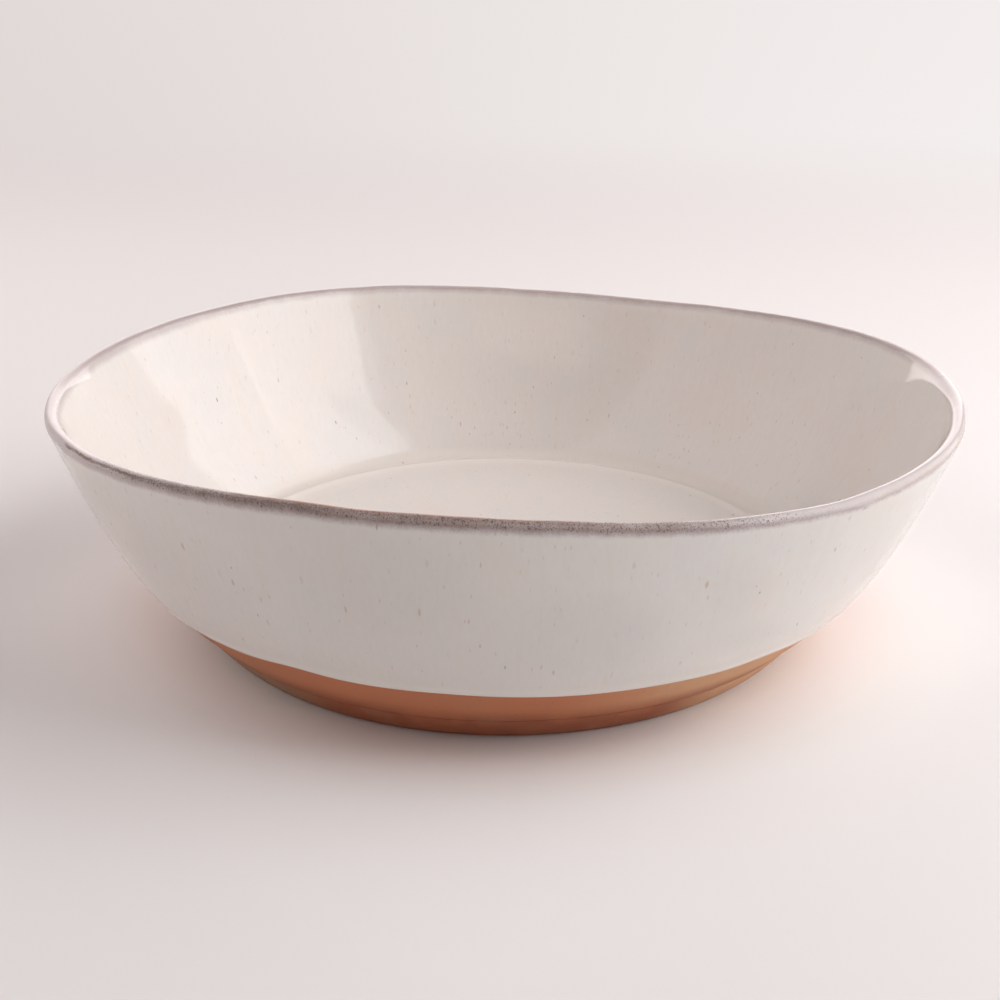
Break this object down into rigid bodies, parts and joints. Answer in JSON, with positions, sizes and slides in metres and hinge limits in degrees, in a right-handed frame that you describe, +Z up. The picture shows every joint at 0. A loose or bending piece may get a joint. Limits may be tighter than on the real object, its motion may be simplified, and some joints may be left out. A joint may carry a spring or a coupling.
{
  "type": "salad bowl",
  "caption": "Wide, slightly oval stoneware salad bowl with flared walls, glazed inside and out, a broken brown band over the lip and a bare clay foot ring.",
  "frame": {"origin": "middle of the foot ring's standing face, on the table", "axes": "+Z up out of the bowl, +X along the rim's long way, +Y across it, away from the side that the picture shows"},
  "size_m": [0.3316, 0.2979, 0.0923],
  "materials": {
    "red_clay": "matte unglazed fired clay",
    "cream_glaze": "glossy cream with fine rust and grey specks",
    "brown_glaze": "glossy, broken to mauve grey and rust brown with dense dark specks"
  },
  "bodies": {
    "root": {"clay_body": "red_clay", "foot_ring": "red_clay", "outside_glaze": "cream_glaze", "rim_glaze": "brown_glaze", "inside_glaze": "cream_glaze"}
  },
  "joints": []
}
